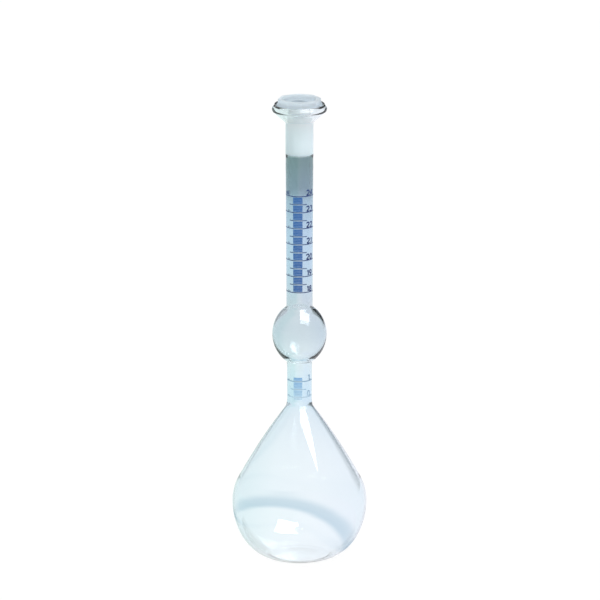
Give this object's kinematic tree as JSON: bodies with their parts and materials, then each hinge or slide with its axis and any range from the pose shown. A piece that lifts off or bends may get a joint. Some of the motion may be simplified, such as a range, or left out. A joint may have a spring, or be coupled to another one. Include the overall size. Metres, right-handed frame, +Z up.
{
  "type": "volumetric flask",
  "caption": "Tall clear glass density flask: pear-shaped base bulb, graduated neck with a small bulb partway up, funnel mouth closed by an eight-sided plastic stopper.",
  "frame": {"origin": "centre of the foot, on the bench", "axes": "+Z up along the flask's own axis, -Y towards someone reading the scale, +X to their right"},
  "size_m": [0.0776, 0.0776, 0.2715],
  "materials": {
    "glass": "clear, fire-polished",
    "polyethylene": "milky, satin",
    "enamel": "fired-on blue ink"
  },
  "bodies": {
    "flask": {"base_bulb": "glass", "lower_neck": "glass", "middle_bulb": "glass", "upper_neck": "glass", "ground_socket": "glass"},
    "stopper": {"stopper": "polyethylene"}
  },
  "joints": [
    {"name": "stopper_lift", "type": "slide", "parent": "flask", "child": "stopper", "axis": [0, 0, 1], "range_m": [0, 0.045]}
  ]
}
